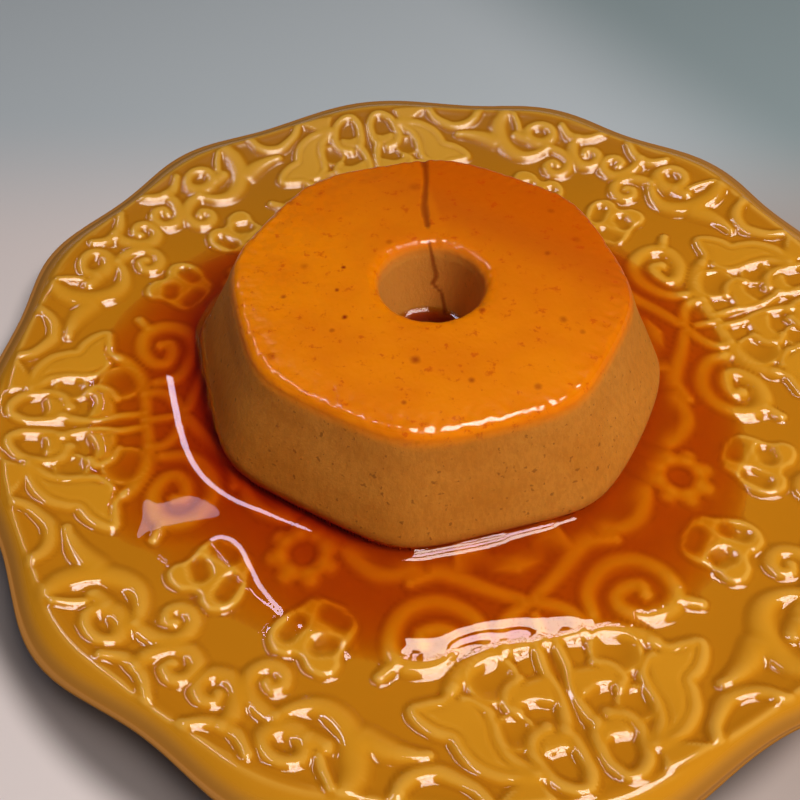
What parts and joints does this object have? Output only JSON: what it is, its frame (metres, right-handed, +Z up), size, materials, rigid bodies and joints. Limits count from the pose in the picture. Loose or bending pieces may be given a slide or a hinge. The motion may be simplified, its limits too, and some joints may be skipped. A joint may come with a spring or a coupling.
{
  "type": "creme caramel flan on a plate",
  "caption": "Moulded custard with a central hole, set in a pool of liquid caramel on a round scalloped plate with raised scrollwork.",
  "frame": {"origin": "centre of the plate's foot ring, on the table", "axes": "+Z up, along the plate's axis; a palmette of the scrollwork stands on each of +X, -X, +Y and -Y"},
  "size_m": [0.2266, 0.2263, 0.0343],
  "materials": {
    "ochre_glaze": "gloss",
    "custard": "satin",
    "caramel": "polished"
  },
  "bodies": {
    "root": {"plate": "ochre_glaze", "flan": "custard", "caramel_pool": "caramel", "caramel_in_hole": "caramel"}
  },
  "joints": []
}
